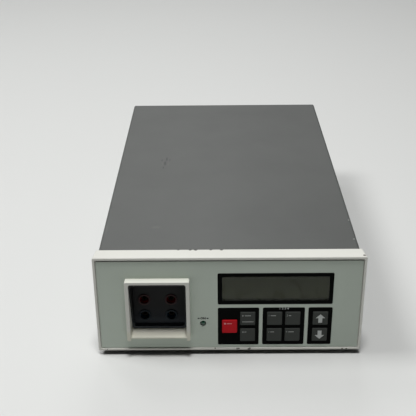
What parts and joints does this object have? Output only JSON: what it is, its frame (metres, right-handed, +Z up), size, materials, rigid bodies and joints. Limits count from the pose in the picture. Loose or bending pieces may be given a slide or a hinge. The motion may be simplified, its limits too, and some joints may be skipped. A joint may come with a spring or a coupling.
{
  "type": "electrophoresis power supply",
  "caption": "Bench electrophoresis power supply: steel case, moulded front with hooded output-socket bay, display and keypad; rear fan, mains inlet with fuse drawer and rocker switch.",
  "frame": {"origin": "on the table, under the middle of the whole object's bounding box", "axes": "+X to the right as the user faces it, +Y from the front panel to the rear, +Z up"},
  "size_m": [0.2506, 0.4232, 0.1073],
  "materials": {
    "bezel_plastic": "warm white moulded, satin",
    "black_frame": "black printed film, satin",
    "black_plastic": "black moulded, satin",
    "blue_shroud": "dark blue moulded",
    "capacitor_can": "dark blue sleeve",
    "chassis_steel": "zinc-plated sheet",
    "circuit_board": "green solder mask",
    "contact_brass": "plated",
    "cover_paint": "mid grey paint, fine texture, satin",
    "dark_key": "dark grey moulded, satin",
    "display_cell": "dark olive display cell",
    "display_window": "clear acrylic",
    "ferrite": "grey ferrite",
    "foot_rubber": "black rubber",
    "fuse_glass": "clear glass with plated caps",
    "heat_sink_metal": "black anodised",
    "hood_plastic": "warm white moulded, satin",
    "lamp_lens": "dark green lens",
    "lead_cover": "silicone cover",
    "panel_film": "light green-grey printed film, satin",
    "panel_plastic": "grey moulded",
    "plated_steel": "bright zinc plate",
    "rear_paint": "mid grey paint, satin",
    "red_key": "crimson moulded, satin",
    "red_shroud": "dark red moulded",
    "ribbon_grey": "grey flat cable",
    "rocker_plastic": "black moulded, glossy",
    "winding_tape": "amber tape over copper winding"
  },
  "bodies": {
    "case": {"front_bezel": "bezel_plastic", "front_panel": "panel_plastic", "panel_overlay": "panel_film", "socket_hood": "hood_plastic", "socket_cup": "black_plastic", "socket_plate": "black_plastic", "red_sleeves": "red_shroud", "blue_sleeves": "blue_shroud", "socket_contacts": "contact_brass", "display_frame": "black_frame", "display_lens": "display_window", "display_glass": "display_cell", "display_board": "circuit_board", "key_frame_left": "black_frame", "key_frame_middle": "black_frame", "key_frame_right": "black_frame", "key_board": "circuit_board", "key_switches": "black_plastic", "front_board_screws": "plated_steel", "indicator_lamp": "lamp_lens", "indicator_board": "circuit_board", "base_chassis": "chassis_steel", "top_cover": "cover_paint", "cover_screws": "plated_steel", "bezel_screws": "plated_steel", "rear_panel": "rear_paint", "rear_screws": "plated_steel", "mains_inlet": "black_plastic", "inlet_blades": "contact_brass", "switch_housing": "black_plastic", "switch_tabs": "contact_brass", "fan_frame": "black_plastic", "fan_guard": "plated_steel", "feet": "foot_rubber", "foot_screws": "plated_steel", "power_board": "circuit_board", "board_posts": "plated_steel", "capacitors": "capacitor_can", "ferrite_transformer": "ferrite", "heat_sink": "heat_sink_metal", "power_transistors": "black_plastic", "toroid_transformer": "winding_tape", "transformer_clamp": "plated_steel", "control_board": "circuit_board", "control_chips": "black_plastic", "ribbon_cable": "ribbon_grey", "output_leads": "lead_cover"},
    "key_stop": {"key_stop": "red_key"},
    "key_run": {"key_run": "dark_key"},
    "key_pause": {"key_pause": "dark_key"},
    "key_program_1": {"key_program_1": "dark_key"},
    "key_program_2": {"key_program_2": "dark_key"},
    "key_program_3": {"key_program_3": "dark_key"},
    "key_program_4": {"key_program_4": "dark_key"},
    "key_up": {"key_up": "dark_key"},
    "key_down": {"key_down": "dark_key"},
    "mains_rocker": {"mains_rocker": "rocker_plastic"},
    "fuse_drawer": {"fuse_drawer": "black_plastic", "fuses": "fuse_glass"},
    "fan_rotor": {"fan_rotor": "black_plastic"}
  },
  "joints": [
    {"name": "key_stop_press", "type": "slide", "parent": "case", "child": "key_stop", "axis": [0, 1, 0], "range_m": [0, 0.0008], "stiffness_N_per_m": 800, "springref_m": -0.0005},
    {"name": "key_run_press", "type": "slide", "parent": "case", "child": "key_run", "axis": [0, 1, 0], "range_m": [0, 0.0008], "stiffness_N_per_m": 800, "springref_m": -0.0005},
    {"name": "key_pause_press", "type": "slide", "parent": "case", "child": "key_pause", "axis": [0, 1, 0], "range_m": [0, 0.0008], "stiffness_N_per_m": 800, "springref_m": -0.0005},
    {"name": "key_program_1_press", "type": "slide", "parent": "case", "child": "key_program_1", "axis": [0, 1, 0], "range_m": [0, 0.0008], "stiffness_N_per_m": 800, "springref_m": -0.0005},
    {"name": "key_program_2_press", "type": "slide", "parent": "case", "child": "key_program_2", "axis": [0, 1, 0], "range_m": [0, 0.0008], "stiffness_N_per_m": 800, "springref_m": -0.0005},
    {"name": "key_program_3_press", "type": "slide", "parent": "case", "child": "key_program_3", "axis": [0, 1, 0], "range_m": [0, 0.0008], "stiffness_N_per_m": 800, "springref_m": -0.0005},
    {"name": "key_program_4_press", "type": "slide", "parent": "case", "child": "key_program_4", "axis": [0, 1, 0], "range_m": [0, 0.0008], "stiffness_N_per_m": 800, "springref_m": -0.0005},
    {"name": "key_up_press", "type": "slide", "parent": "case", "child": "key_up", "axis": [0, 1, 0], "range_m": [0, 0.0008], "stiffness_N_per_m": 800, "springref_m": -0.0005},
    {"name": "key_down_press", "type": "slide", "parent": "case", "child": "key_down", "axis": [0, 1, 0], "range_m": [0, 0.0008], "stiffness_N_per_m": 800, "springref_m": -0.0005},
    {"name": "rocker_tip", "type": "hinge", "parent": "case", "child": "mains_rocker", "pos_m": [0.082, 0.2048, 0.077], "axis": [1, 0, 0], "range_deg": [0, 16]},
    {"name": "fuse_drawer_slide", "type": "slide", "parent": "case", "child": "fuse_drawer", "axis": [0, 1, 0], "range_m": [0, 0.014]},
    {"name": "fan_spin", "type": "hinge", "parent": "case", "child": "fan_rotor", "pos_m": [-0.074, 0.196, 0.057], "axis": [0, 1, 0], "continuous": true}
  ]
}
